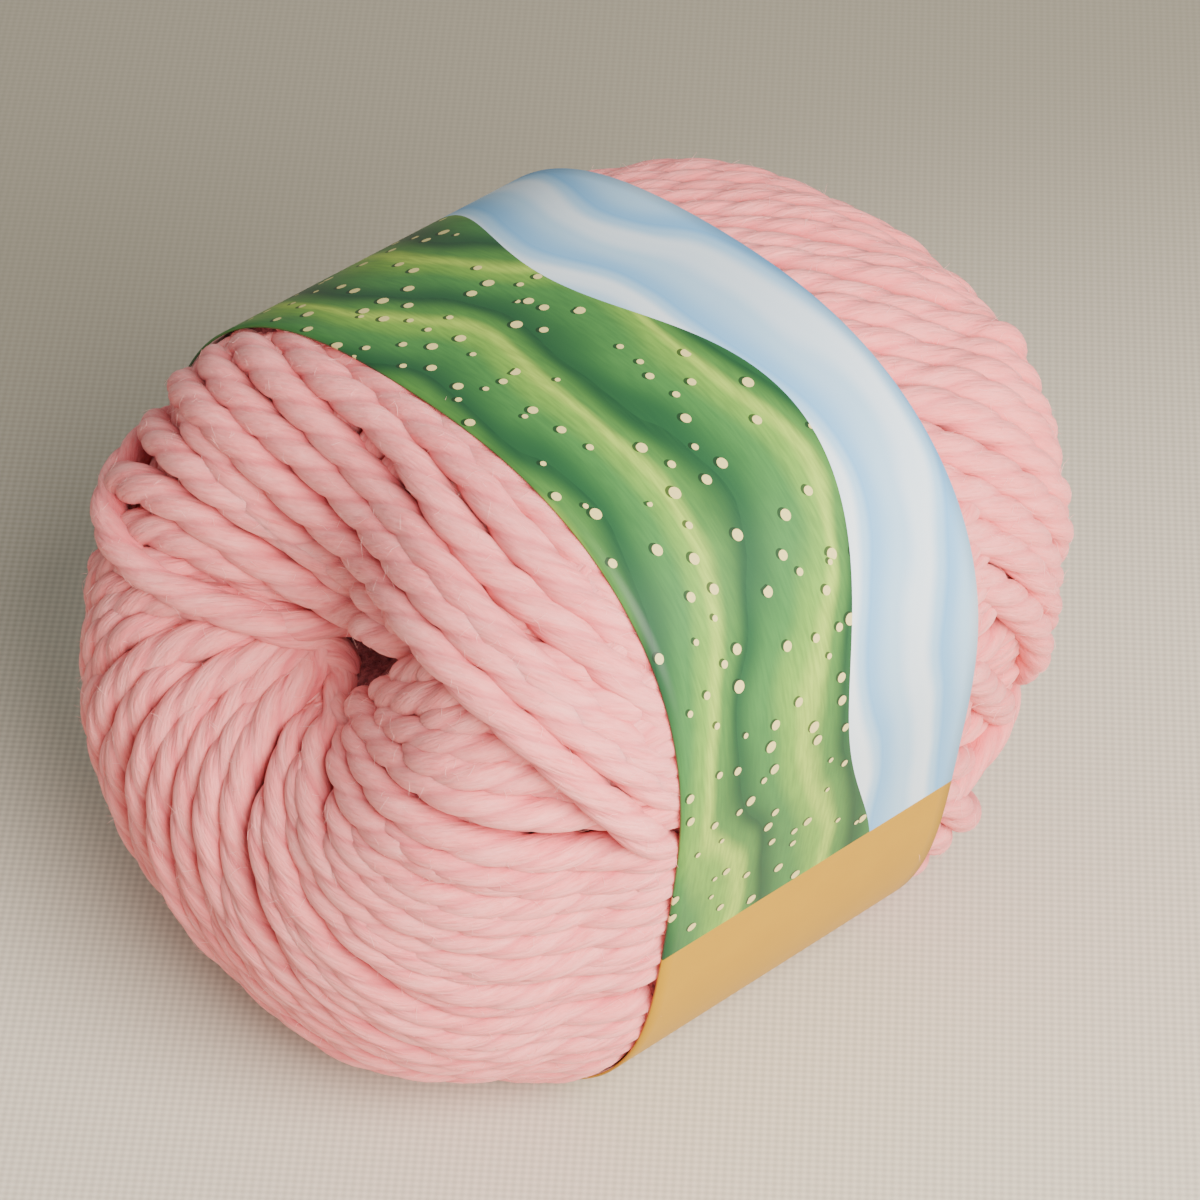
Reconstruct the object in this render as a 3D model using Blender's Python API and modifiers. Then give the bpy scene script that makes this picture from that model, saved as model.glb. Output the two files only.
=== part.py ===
"""Machine-wound ball of plied yarn, lying on its side, held by a printed paper band.

Metres, +Z up.  The ball's length runs along X, with the end that shows its winding hole at -X.
The origin is on the floor, under the middle of the ball.
"""
import math

import bmesh
import bpy
import numpy as np
from mathutils import Matrix

# Paper band.
BAND_RADIUS = 0.0419
BAND_WIDTH = 0.0398
BAND_THICKNESS = 0.0010
BAND_SHIFT = -0.0031          # the band sits a little towards the -X end
BAND_SIDES = 120

# Outline of the girth, squared off by the turns inside: lobes, cosine part, sine part.
GIRTH_WAVES = (
    (1, 0.008, 0.008),
    (2, -0.009, -0.027),
    (3, 0.023, 0.008),
    (4, -0.037, -0.013),
)

# Wound form under the turns that show.
CORE_RADIUS = 0.0380
NEAR_LENGTH = 0.0490          # from the middle to the -X end
FAR_LENGTH = 0.0470           # and to the +X end
NEAR_BLUNTNESS = 4.4          # 2 is round-ended, higher is flatter-ended
FAR_BLUNTNESS = 4.8
HOLE_DEPTH = 0.36             # share of the core's radius lost at a winding hole
HOLE_SPREAD = 0.40            # radians from the hole's axis
HOLE_AXIS = (-0.910, 0.044, 0.412)

# Turns, laid in this order.  turns: how many; tucked: whether they dive into the hole, and so
# don't show past it; planes: share of the row laid, bearing of a turn's plane round the hole
# axis and lean of its normal from that axis, in degrees, the plane's distance from the
# middle, and the height of the turn's back above the core.
WINDING = (
    dict(turns=26, tucked=False, planes=(
        (0.00, 144, 62, 0.0113, 0.0010),
        (0.24, 93, 84, -0.0010, 0.0014),
        (0.40, 77, 65, 0.0092, 0.0017),
        (0.52, 55, 59, 0.0145, 0.0020),
        (0.62, 31, 55, 0.0168, 0.0023),
        (0.72, 3, 54, 0.0172, 0.0028),
        (0.91, -52, 59, 0.0166, 0.0038),
        (1.00, -76, 61, 0.0155, 0.0042),
    )),
    dict(turns=2, tucked=True, planes=(
        (0.00, -106, 65, 0.0107, 0.0042),
        (0.50, -90, 68, 0.0084, 0.0047),
        (1.00, -80, 60, 0.0167, 0.0050),
    )),
    dict(turns=3, tucked=False, planes=(
        (0.00, -96, 60, 0.0115, 0.0052),
        (0.50, -98, 64, -0.0002, 0.0044),
        (1.00, -98, 65, -0.0110, 0.0034),
    )),
    dict(turns=1, tucked=True, planes=(
        (0.00, 83, 65, 0.0144, 0.0052),
        (1.00, 83, 65, 0.0100, 0.0052),
    )),
)
TUCK_LENGTH = 0.0080          # stretch over which a tucked turn sinks into the hole
TUCK_REACH = 0.0060           # how far past the hole's middle it has sunk
CROSSOVER = 0.0130            # stretch of the girth in which a turn changes sides of the middle
GROOVE_DEPTH = 0.0016         # between two turns lying side by side
GROOVE_SHARE = 0.30           # most that a groove's depth may be of the space from turn to turn
EDGE_DROP = 0.0034            # from the back of a row's outermost turn down its outer side
STEPS_PER_TURN = 12

# Fit and rest.
FLOOR_DROP = 0.0386           # from the ball's axis down to the floor
BAND_CLEARANCE = 0.0004       # between the band and the floor
GAP = 0.0004                  # between the yarn and the paper
FLAT_WITHIN = 0.00015         # what is this close to the floor lies flat on it
PINCH = 0.0040                # stretch beside the band in which the yarn swells out again
SAG = 0.0013                  # how much lower the loose yarn hangs under the ball
SAG_SHARPNESS = 7             # higher keeps the sag closer to the very bottom

SPHERE_LEVEL = 7
YARN_FACES = 11600

YARN_COLOUR = (0.80, 0.49, 0.46, 1.0)
PAPER_COLOUR = (0.27, 0.45, 0.24, 1.0)


def clear_scene():
    for thing in list(bpy.data.objects):
        bpy.data.objects.remove(thing)


def make_collection(name):
    collection = bpy.data.collections.new(name)
    bpy.context.scene.collection.children.link(collection)
    return collection


def principled(name, colour, roughness):
    material = bpy.data.materials.new(name)
    material.use_nodes = True
    shader = material.node_tree.nodes["Principled BSDF"]
    shader.inputs["Base Color"].default_value = colour
    shader.inputs["Roughness"].default_value = roughness
    shader.inputs["Metallic"].default_value = 0.0
    return material


def smoothstep(low, high, value):
    share = np.clip((value - low) / (high - low), 0.0, 1.0)
    return share * share * (3.0 - 2.0 * share)


def girth_factor(across, upward):
    """Lobed outline of the girth, as a factor on a radius, at the side (across, upward)."""
    bearing = np.arctan2(upward, across)
    factor = np.ones_like(bearing)
    for lobes, cosine_part, sine_part in GIRTH_WAVES:
        factor += cosine_part * np.cos(lobes * bearing) + sine_part * np.sin(lobes * bearing)
    return factor


def hole_axes():
    """Unit vectors: the hole axis, and two across it (frontward, upward)."""
    axis = np.array(HOLE_AXIS)
    axis /= np.linalg.norm(axis)
    front = np.array((0.0, -1.0, 0.0))
    front -= axis * (front @ axis)
    front /= np.linalg.norm(front)
    upward = np.cross(front, axis)
    return axis, front, upward * np.sign(upward[2])


def core_radius(directions):
    """Distance from the middle to the core's surface along each unit direction."""
    along = np.abs(directions[:, 0])
    near = directions[:, 0] < 0.0
    half_length = np.where(near, NEAR_LENGTH, FAR_LENGTH)
    bluntness = np.where(near, NEAR_BLUNTNESS, FAR_BLUNTNESS)
    girth = CORE_RADIUS * girth_factor(directions[:, 1], directions[:, 2])
    across = np.hypot(directions[:, 1], directions[:, 2])
    radius = np.full(len(directions), CORE_RADIUS)
    for _ in range(10):
        lengthwise = (radius * along / half_length) ** bluntness
        crosswise = (radius * across / girth) ** 2
        slope = (bluntness * lengthwise + 2.0 * crosswise) / radius
        radius = radius - (lengthwise + crosswise - 1.0) / slope
    axis, _, _ = hole_axes()
    from_hole = np.arccos(np.clip(np.abs(directions @ axis), 0.0, 1.0))
    return radius * (1.0 - HOLE_DEPTH * np.exp(-(from_hole / HOLE_SPREAD) ** 2))


def end_side(along):
    """From 1 at the near end to -1 at the far one: a turn passes the holes on opposite sides."""
    return np.tanh((BAND_SHIFT - along) / CROSSOVER)


def turn_plane(row, share):
    """Normal, distance from the middle, and lift of the turn at this share of the row."""
    table = np.array(row["planes"])
    bearing, lean, distance, lift = (np.interp(share, table[:, 0], table[:, column])
                                     for column in range(1, 5))
    axis, front, upward = hole_axes()
    bearing, lean = math.radians(bearing), math.radians(lean)
    around = math.cos(bearing) * front + math.sin(bearing) * upward
    return math.cos(lean) * axis + math.sin(lean) * around, distance, lift


def newest_turn(row, core):
    """For each point, the last turn over it: its place in the row, spacing and lift.

    Places count turns from 0.  Where no turn passes, the place is NaN.
    """
    place = np.full(len(core), np.nan)
    spacing = np.full(len(core), np.nan)
    height = np.full(len(core), np.nan)
    side = end_side(core[:, 0])
    before = None
    step = 1.0 / STEPS_PER_TURN
    for at in np.arange(-0.5, row["turns"] - 0.5 + step / 2, step):
        normal, distance, lift = turn_plane(row, (at + 0.5) / row["turns"])
        now = core @ normal - distance * side
        if before is not None:
            crossed = (before > 0.0) != (now > 0.0)
            change = now[crossed] - before[crossed]
            place[crossed] = at - step * now[crossed] / change
            spacing[crossed] = np.abs(change) / step
            height[crossed] = lift
        before = now
    return place, spacing, height


def showing_share(core):
    """1 where a tucked turn lies on the surface, falling to 0 where it is in the hole."""
    _, front, _ = hole_axes()
    behind_hole = smoothstep(0.0, TUCK_LENGTH, TUCK_REACH - core @ front)
    return np.where(core[:, 0] < BAND_SHIFT, behind_hole, 1.0)


def lay_turns(core):
    """Height of the laid turns above the core, at each point of it."""
    height = np.zeros(len(core))
    for row in WINDING:
        place, spacing, lift = newest_turn(row, core)
        wound = np.flatnonzero(~np.isnan(place))
        place = place[wound]
        last = row["turns"] - 1
        nearest_turn = np.clip(np.round(place), 0, last)
        beside = 2.0 * np.abs(place - nearest_turn)
        outermost = ((nearest_turn == 0) & (place < 0)) | ((nearest_turn == last) & (place > last))
        groove = np.minimum(GROOVE_DEPTH, GROOVE_SHARE * spacing[wound])
        drop = np.where(outermost, EDGE_DROP, groove)
        fall = drop * (1.0 - np.sqrt(np.clip(1.0 - beside ** 2, 0.0, 1.0)))
        laid = lift[wound] - fall
        if row["tucked"]:
            laid *= showing_share(core[wound])
        height[wound] = np.maximum(height[wound], laid)
    return height


def wound_surface(directions):
    """Surface of the wound yarn before the band and the floor press on it."""
    core = directions * core_radius(directions)[:, None]
    return core + directions * lay_turns(core)[:, None]


def band_inner(across, upward):
    """Radius of the band's inner face, flattened where it hangs over the floor."""
    radius = (BAND_RADIUS - BAND_THICKNESS) * girth_factor(across, upward)
    deepest = FLOOR_DROP - BAND_CLEARANCE - BAND_THICKNESS
    downward = -upward / np.hypot(across, upward)
    return np.where(downward * radius > deepest, deepest / np.maximum(downward, 0.1), radius)


def press(points):
    """Hold the yarn inside the band and flatten it where it rests."""
    beyond_edge = np.abs(points[:, 0] - BAND_SHIFT) - BAND_WIDTH / 2 - 2.0 * GAP
    held = 1.0 - smoothstep(0.0, PINCH, beyond_edge)
    radius = np.hypot(points[:, 1], points[:, 2])
    target = band_inner(points[:, 1], points[:, 2]) - GAP
    factor = 1.0 + held * (target / radius - 1.0)
    downward = np.clip(-points[:, 2] / radius, 0.0, 1.0)
    sag = SAG * (1.0 - held) * downward ** SAG_SHARPNESS
    pressed = points.copy()
    pressed[:, 1] *= factor
    pressed[:, 2] = np.maximum(points[:, 2] * factor - sag, -FLOOR_DROP)
    return pressed


def settle(thing):
    """Make what the modifiers give the mesh itself."""
    bpy.context.view_layer.update()
    depsgraph = bpy.context.evaluated_depsgraph_get()
    settled = bpy.data.meshes.new_from_object(thing.evaluated_get(depsgraph))
    thing.modifiers.clear()
    thing.data = settled


def thin_out(thing, faces):
    """Reduce the mesh to about so many triangles."""
    reducer = thing.modifiers.new("fewer_faces", "DECIMATE")
    reducer.ratio = faces / len(thing.data.polygons)
    reducer.use_collapse_triangulate = True
    settle(thing)


def make_yarn_ball(collection, material):
    ball = bmesh.new()
    bmesh.ops.create_icosphere(ball, subdivisions=SPHERE_LEVEL, radius=1.0)
    directions = np.array([vert.co for vert in ball.verts])
    directions /= np.linalg.norm(directions, axis=1)[:, None]
    points = press(wound_surface(directions))
    points[:, 2] += FLOOR_DROP
    for vert, point in zip(ball.verts, points):
        vert.co = point
    mesh = bpy.data.meshes.new("yarn_ball")
    ball.to_mesh(mesh)
    ball.free()
    thing = bpy.data.objects.new("yarn_ball", mesh)
    collection.objects.link(thing)
    thin_out(thing, YARN_FACES)
    for vert in thing.data.vertices:
        if vert.co.z < FLAT_WITHIN:
            vert.co.z = 0.0
    thing.data.materials.clear()
    thing.data.materials.append(material)
    thing.data.shade_smooth()
    return thing


def make_paper_band(collection, material):
    """A ring of paper: a cylinder's open side, shaped to the girth, and thickened outwards."""
    strip = bmesh.new()
    bmesh.ops.create_cone(strip, segments=BAND_SIDES, radius1=1.0, radius2=1.0, depth=1.0)
    for vert in strip.verts:
        along, across, upward = vert.co.z, vert.co.x, vert.co.y
        radius = float(band_inner(np.array(across), np.array(upward)))
        vert.co = (BAND_SHIFT + along * BAND_WIDTH, across * radius,
                   upward * radius + FLOOR_DROP)
    mesh = bpy.data.meshes.new("paper_band")
    strip.to_mesh(mesh)
    strip.free()
    thing = bpy.data.objects.new("paper_band", mesh)
    collection.objects.link(thing)
    thickness = thing.modifiers.new("paper", "SOLIDIFY")
    thickness.thickness = BAND_THICKNESS
    thickness.offset = 1.0
    thickness.use_even_offset = True
    settle(thing)
    thing.data.materials.clear()
    thing.data.materials.append(material)
    thing.data.shade_smooth()
    return thing


def stand_over_origin(things):
    """Shift the things together so that the middle of their length and depth is over the origin."""
    corners = np.array([vert.co for thing in things for vert in thing.data.vertices])
    middle = (corners.min(axis=0) + corners.max(axis=0)) / 2.0
    for thing in things:
        thing.data.transform(Matrix.Translation((-middle[0], -middle[1], 0.0)))


clear_scene()
yarn_collection = make_collection("ball_of_yarn")
yarn_ball = make_yarn_ball(yarn_collection, principled("yarn_wool", YARN_COLOUR, 0.9))
paper_band = make_paper_band(yarn_collection, principled("band_paper", PAPER_COLOUR, 0.45))
stand_over_origin((yarn_ball, paper_band))
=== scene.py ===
import math

import bmesh
import bpy
import numpy as np
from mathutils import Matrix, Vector


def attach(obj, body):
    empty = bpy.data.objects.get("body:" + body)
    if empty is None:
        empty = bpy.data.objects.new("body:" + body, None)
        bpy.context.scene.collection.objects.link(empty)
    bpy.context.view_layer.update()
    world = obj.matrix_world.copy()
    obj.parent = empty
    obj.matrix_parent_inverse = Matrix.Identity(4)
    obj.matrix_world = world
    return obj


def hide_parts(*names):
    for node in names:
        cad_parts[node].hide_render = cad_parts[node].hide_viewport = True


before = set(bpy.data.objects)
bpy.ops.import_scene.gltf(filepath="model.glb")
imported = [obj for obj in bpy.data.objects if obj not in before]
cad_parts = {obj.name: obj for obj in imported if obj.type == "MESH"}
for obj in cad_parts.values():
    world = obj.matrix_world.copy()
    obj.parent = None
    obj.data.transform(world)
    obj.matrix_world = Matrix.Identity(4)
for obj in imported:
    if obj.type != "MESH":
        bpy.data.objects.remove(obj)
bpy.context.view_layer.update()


# ---------------------------------------------------------------- Camera
# Looks down on the end that shows the winding hole, from the front left.  A long lens
# from about 0.6 m, so that the ball's far end is only a little smaller than its near end.
BALL_MIDDLE = Vector((0.00083, -0.00096, 0.0386))
CAMERA_BACK = Vector((-0.5053, -0.5690, 0.6488)).normalized()
CAMERA_DISTANCE = 0.591

camera_lens = bpy.data.cameras.new("camera")
camera_lens.lens = 171.7
camera_lens.sensor_width = 36.0
camera_lens.shift_x = 0.0117
camera_lens.shift_y = 0.0055
camera_lens.clip_start = 0.05
camera_lens.clip_end = 20.0
camera = bpy.data.objects.new("camera", camera_lens)
camera.location = BALL_MIDDLE + CAMERA_BACK * CAMERA_DISTANCE
camera.rotation_mode = "QUATERNION"
camera.rotation_quaternion = (-CAMERA_BACK).to_track_quat("-Z", "Y")
bpy.context.scene.collection.objects.link(camera)
bpy.context.scene.camera = camera


# ---------------------------------------------------------------- Wound form of the ball
# The yarn under the turns that show.  A machine winds it round a tilted spindle, which
# leaves a dimple at both ends; the band squeezes its girth, and its weight flattens it.
BAND_RADIUS = 0.0419
BAND_WIDTH = 0.0398
BAND_SHIFT = -0.0031         # of the band's middle along x, from the ball's
PAPER_THICKNESS = 0.00028
GIRTH_WAVES = (              # lobes, cosine part, sine part
    (1, 0.008, 0.008),
    (2, -0.009, -0.027),
    (3, 0.023, 0.008),
    (4, -0.037, -0.013),
)
CORE_RADIUS = 0.0380
NEAR_LENGTH = 0.0490
FAR_LENGTH = 0.0470
NEAR_BLUNTNESS = 4.4
FAR_BLUNTNESS = 4.8
HOLE_DEPTH = 0.36
HOLE_SPREAD = 0.40
HOLE_AXIS = np.array((-0.910, 0.044, 0.412))
RADIUS_ROUNDS = 7            # of closing in on the form's surface, along a line from the middle
CROSSOVER = 0.0130           # along x, in which a turn passes from one side of the hole's axis
FLOOR_DROP = 0.0386          # from the ball's middle down to the floor
PINCH = 0.0080               # past the paper's edge, in which the yarn swells from under it
SAG = 0.0013                 # how far the free underside hangs
SAG_SHARPNESS = 7            # the higher, the narrower that part of the underside
OVER_FLOOR = 0.0004          # the paper's outer face over the floor
INSIDE_PAPER = 0.0001        # the yarn's outside within the paper's inner face

TURN_STEP = 1.0 / 8          # of the way to the next turn, in finding the newest over a point

# Rows of turns, in the order that they are laid.  strands: how many; tucked: whether they
# dive into the hole; planes: share of the row laid, bearing of a strand's plane round the
# hole axis and lean of its normal from that axis, in degrees, the plane's distance from the
# middle, and the height of the strand's back above the form; girth: share of the full
# thickness, where it isn't whole.
ROWS = {
    "swirl": dict(strands=58, tucked=False, planes=(
        (0.00, 144, 62, 0.0113, 0.0010),
        (0.24, 93, 84, -0.0010, 0.0014),
        (0.40, 77, 65, 0.0092, 0.0017),
        (0.52, 55, 59, 0.0145, 0.0020),
        (0.62, 31, 55, 0.0168, 0.0023),
        (0.72, 3, 54, 0.0172, 0.0028),
        (0.91, -52, 59, 0.0166, 0.0038),
        (1.00, -76, 61, 0.0155, 0.0042),
    )),
    "tucked": dict(strands=3, tucked=True, planes=(
        (0.00, -106, 65, 0.0107, 0.0042),
        (0.50, -90, 68, 0.0084, 0.0047),
        (1.00, -80, 60, 0.0167, 0.0050),
    )),
    "fan": dict(strands=6, tucked=False, planes=(
        (0.00, -96, 60, 0.0115, 0.0052),
        (0.50, -98, 64, -0.0002, 0.0044),
        (1.00, -98, 65, -0.0110, 0.0034),
    )),
    "last": dict(strands=1, tucked=True, girth=0.95, planes=(
        (0.00, 83, 65, 0.0122, 0.0055),
        (1.00, 83, 65, 0.0122, 0.0055),
    )),
}
TUCK_LENGTH = 0.0030         # in which a tucked strand sinks into the hole
TUCK_PLACES = {"tucked": 0.0100, "last": -0.0014}  # how far past the hole's middle
FAR_SINKING = 0.0026         # how much lower those strands lie at the far end
STRAND_RADIUS = 0.00205


def smoothstep(low, high, value):
    """0 up to low, 1 from high on, and a soft rise between them."""
    share = np.clip((value - low) / (high - low), 0.0, 1.0)
    return share * share * (3.0 - 2.0 * share)


def girth_factor(across, upward):
    """Lobed outline of the girth, as a factor on a radius."""
    bearing = np.arctan2(upward, across)
    factor = np.ones_like(bearing)
    for lobes, cosine_part, sine_part in GIRTH_WAVES:
        factor += cosine_part * np.cos(lobes * bearing) + sine_part * np.sin(lobes * bearing)
    return factor


def hole_axes():
    """Unit vectors: the hole axis, and two across it (frontward, upward)."""
    axis = HOLE_AXIS / np.linalg.norm(HOLE_AXIS)
    front = np.array((0.0, -1.0, 0.0))
    front -= axis * (front @ axis)
    front /= np.linalg.norm(front)
    upward = np.cross(front, axis)
    return axis, front, upward * np.sign(upward[2])


def form_radius(directions):
    """Distance from the middle to the form's surface along unit directions (..., 3)."""
    near = directions[..., 0] < 0.0
    half_length = np.where(near, NEAR_LENGTH, FAR_LENGTH)
    bluntness = np.where(near, NEAR_BLUNTNESS, FAR_BLUNTNESS)
    along = np.abs(directions[..., 0])
    across = np.hypot(directions[..., 1], directions[..., 2])
    girth = CORE_RADIUS * girth_factor(directions[..., 1], directions[..., 2])
    radius = np.full(along.shape, CORE_RADIUS)
    for _ in range(RADIUS_ROUNDS):
        lengthwise = (radius * along / half_length) ** bluntness
        crosswise = (radius * across / girth) ** 2
        slope = (bluntness * lengthwise + 2.0 * crosswise) / radius
        radius = radius - (lengthwise + crosswise - 1.0) / slope
    axis, _, _ = hole_axes()
    from_hole = np.arccos(np.clip(np.abs(directions @ axis), 0.0, 1.0))
    return radius * (1.0 - HOLE_DEPTH * np.exp(-(from_hole / HOLE_SPREAD) ** 2))


def end_side(along):
    """From 1 at the near end to -1 at the far one: turns pass the hole on opposite sides."""
    return np.tanh((BAND_SHIFT - along) / CROSSOVER)


def turn_plane(row, number):
    """Normals, distances from the middle and lifts of the row's turns of these numbers."""
    table = np.array(row["planes"])
    share = (np.asarray(number) + 0.5) / row["strands"]
    bearing, lean, distance, lift = (np.interp(share, table[:, 0], table[:, column])
                                     for column in range(1, 5))
    axis, front, upward = hole_axes()
    bearing = np.radians(bearing)[..., None]
    lean = np.radians(lean)[..., None]
    around = np.cos(bearing) * front + np.sin(bearing) * upward
    return np.cos(lean) * axis + np.sin(lean) * around, distance, lift


def newest_turn(row, points):
    """For each point of the form, the number of the last strand over it, or NaN."""
    place = np.full(len(points), np.nan)
    side = end_side(points[:, 0])
    before = None
    for at in np.arange(-0.5, row["strands"] - 0.5 + TURN_STEP / 2, TURN_STEP):
        normal, distance, _ = turn_plane(row, at)
        now = points @ normal - distance * side
        if before is not None:
            crossed = (before > 0.0) != (now > 0.0)
            place[crossed] = at - TURN_STEP * now[crossed] / (now[crossed] - before[crossed])
        before = now
    return place


def showing_share(name, points):
    """1 where a tucked strand lies on the surface, falling to 0 where it is in the hole."""
    _, front, _ = hole_axes()
    behind_hole = smoothstep(0.0, TUCK_LENGTH, TUCK_PLACES[name] - points @ front)
    return np.where(points[..., 0] < BAND_SHIFT, behind_hole, 1.0)


def laid_lift(row, lift, points):
    """Height of a strand's back above the form at these points of it."""
    if not row["tucked"]:
        return lift
    return lift - FAR_SINKING * smoothstep(0.0, FAR_LENGTH / 2, points[..., 0] - BAND_SHIFT)


def band_inner(across, upward):
    """Radius of the paper's inner face, flattened where it hangs over the floor."""
    radius = (BAND_RADIUS - PAPER_THICKNESS) * girth_factor(across, upward)
    deepest = FLOOR_DROP - OVER_FLOOR - PAPER_THICKNESS
    downward = -upward / np.hypot(across, upward)
    return np.where(downward * radius > deepest, deepest / np.maximum(downward, 0.1), radius)


def press(points):
    """Hold the yarn inside the band and flatten it where it rests."""
    beyond_edge = np.abs(points[..., 0] - BAND_SHIFT) - BAND_WIDTH / 2
    held = 1.0 - smoothstep(0.0, PINCH, beyond_edge)
    radius = np.hypot(points[..., 1], points[..., 2])
    target = band_inner(points[..., 1], points[..., 2]) - INSIDE_PAPER
    factor = 1.0 + held * (target / radius - 1.0)
    downward = np.clip(-points[..., 2] / radius, 0.0, 1.0)
    sag = SAG * (1.0 - held) * downward ** SAG_SHARPNESS
    pressed = points.copy()
    pressed[..., 1] *= factor
    pressed[..., 2] = np.maximum(points[..., 2] * factor - sag, -FLOOR_DROP)
    return pressed


def ball_height(points):
    """How high the backs of the laid turns stand above the form at its points."""
    height = np.zeros(len(points))
    for name, row in ROWS.items():
        place = newest_turn(row, points)
        wound = np.flatnonzero(~np.isnan(place))
        laid = laid_lift(row, turn_plane(row, place[wound])[2], points[wound])
        if row["tucked"]:
            laid *= showing_share(name, points[wound])
        height[wound] = np.maximum(height[wound], laid)
    return height


def link_piece(name, mesh):
    """A piece of the ball made of this mesh."""
    thing = bpy.data.objects.new(name, mesh)
    bpy.context.scene.collection.objects.link(thing)
    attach(thing, "root")
    return thing


def add_node(tree, kind, **inputs):
    """A shader node, its inputs set by name or as i0, i1 and so on, or linked to a socket."""
    node = tree.nodes.new(kind)
    for name, value in inputs.items():
        socket = node.inputs[int(name[1:])] if name[0] == "i" and name[1:].isdigit() \
            else node.inputs[name.replace("_", " ")]
        if isinstance(value, bpy.types.NodeSocket):
            tree.links.new(value, socket)
        else:
            socket.default_value = value
    return node


def maths(tree, operation, first, second=0.5, third=0.5):
    """The result of one sum, each of its terms a number or a socket."""
    node = add_node(tree, "ShaderNodeMath", i0=first, i1=second, i2=third)
    node.operation = operation
    return node.outputs[0]


def mix_colours(tree, share, first, second):
    """From the first colour at share 0 to the second at share 1."""
    node = tree.nodes.new("ShaderNodeMix")
    node.data_type = "RGBA"
    for socket, value in ((node.inputs[0], share), (node.inputs[6], first),
                          (node.inputs[7], second)):
        if isinstance(value, bpy.types.NodeSocket):
            tree.links.new(value, socket)
        else:
            socket.default_value = value
    return node.outputs[2]


def new_material(name):
    """A material, its node tree and its shader."""
    material = bpy.data.materials.new(name)
    material.use_nodes = True
    return material, material.node_tree, material.node_tree.nodes["Principled BSDF"]


FILL_DEPTH = 0.0046          # from the backs of the strands down to the filling
FILL_UNDER_PAPER = 0.0003    # and from the paper down to it
FILL_RISES = (-0.001, 0.002)  # past the paper's edge, from the one depth to the other
FELT_GRAIN = 1100.0
FELT_RELIEF = 0.0006
# The filling's two colours are far darker than the strands' pink: painted shade in the grooves
# between strands and in the hole, over a felted grain.
SHADED_FELT_DARK = (0.14, 0.025, 0.035, 1.0)
SHADED_FELT_PALE = (0.48, 0.12, 0.13, 1.0)

filling = bmesh.new()
bmesh.ops.create_icosphere(filling, subdivisions=6, radius=1.0)
directions = np.array([vert.co for vert in filling.verts])
directions /= np.linalg.norm(directions, axis=1)[:, None]
form = directions * form_radius(directions)[:, None]
backs = press(form + directions * ball_height(form)[:, None])
clear_of_band = smoothstep(*FILL_RISES, np.abs(backs[:, 0] - BAND_SHIFT) - BAND_WIDTH / 2)
fill_depth = FILL_UNDER_PAPER + clear_of_band * (FILL_DEPTH - FILL_UNDER_PAPER)
raised = backs - directions * fill_depth[:, None]
for vert, point in zip(filling.verts, raised):
    vert.co = Vector(point) + BALL_MIDDLE
filling_mesh = bpy.data.meshes.new("yarn_filling")
filling.to_mesh(filling_mesh)
filling.free()
filling_mesh.shade_smooth()
yarn_filling = link_piece("yarn_filling", filling_mesh)

filling_look, tree, shader = new_material("yarn_in_the_grooves_painted_shade")
felted = add_node(tree, "ShaderNodeTexNoise",
                  Vector=tree.nodes.new("ShaderNodeTexCoord").outputs["Object"],
                  Scale=FELT_GRAIN, Detail=5.0, Roughness=0.7).outputs["Fac"]
felted_share = add_node(tree, "ShaderNodeMapRange", i0=felted, i1=0.35, i2=0.65).outputs[0]
# Painted shade: the felted grain mixed between two dark reds.
shaded_felt_colour = mix_colours(tree, felted_share, SHADED_FELT_DARK, SHADED_FELT_PALE)
tree.links.new(shaded_felt_colour, shader.inputs["Base Color"])
felt_relief = add_node(tree, "ShaderNodeBump", Strength=1.0, Distance=FELT_RELIEF, Height=felted)
tree.links.new(felt_relief.outputs[0], shader.inputs["Normal"])
shader.inputs["Roughness"].default_value = 0.95
filling_mesh.materials.append(filling_look)


# ---------------------------------------------------------------- Strands
# Thick soft yarn of three plies twisted together.  Each turn lies in a plane past one side
# of the winding hole; the newest lies on top, and old ones dive between their neighbours.
PLIES = 3
PLY_TWIST_LENGTH = 0.0170    # in which the plies go once round
PLY_GROOVE = 0.18            # share of the radius lost between two plies
GROOVE_SHARPNESS = 1.7
PROFILE_POINTS = 18          # round a strand
FIBRE_STRETCH = 0.22         # width of the fibre pattern, as a share of its length
TURN_POINTS = 420            # on a whole turn
WHOLE_TURN = 6.283           # in radians
STEEPEST = 1.3               # slope up to which a turn's line is looked for, in radians
HALVINGS = 22                # of the range of slopes, until the line is found
FEELER = 0.01                # share of the radius over which the form's slope is felt
STACKED = 0.0031             # height from one strand's middle to that of one right over it
FULL_PITCH = 0.0022          # spacing at which neighbours still lie side by side
LOST_PITCH = 0.0015          # spacing at which one of them has sunk
SLIM_PITCH = 0.0030          # spacing under which strands are squeezed slimmer
SLIMMEST = 0.62              # share of its thickness that a squeezed strand keeps
DIVE_LENGTH = 0.0026         # in which a strand goes down beneath another
WANDER = 0.00028             # how far a strand strays up and down, and sideways
LIFT_WAVES = 16              # up to how many times round, up and down
SIDE_WAVES = 12              # and sideways
WAVES_ADDED = 6
WAVES_HEIGHT = 2.4           # that of so many waves added up
PLANE_JITTER = 0.005         # how unevenly the turns are laid, in radians
OFFSET_JITTER = 0.00015      # sideways
TURN_JITTER = 0.10           # and as a share of the space to the next turn
LAYER_JITTER = (0.75, 1.25)  # factor on the spacing at which a strand sinks
KEPT_ON = 8                  # places that a strand runs on beneath the ones that cover it
SHORTEST_RUN = 8             # a showing stretch of no more places than this is left out
CROSSING = (0.88, 0.97)      # likeness of two strands' courses, from crossing to side by side
BESIDE = 0.40                # how much nearer strands lie beside each other than stacked
UNDER_PAPER = 0.0050         # how far a strand goes on under the band
LAYERS = 5                   # every second strand is the first to sink where they crowd
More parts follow.
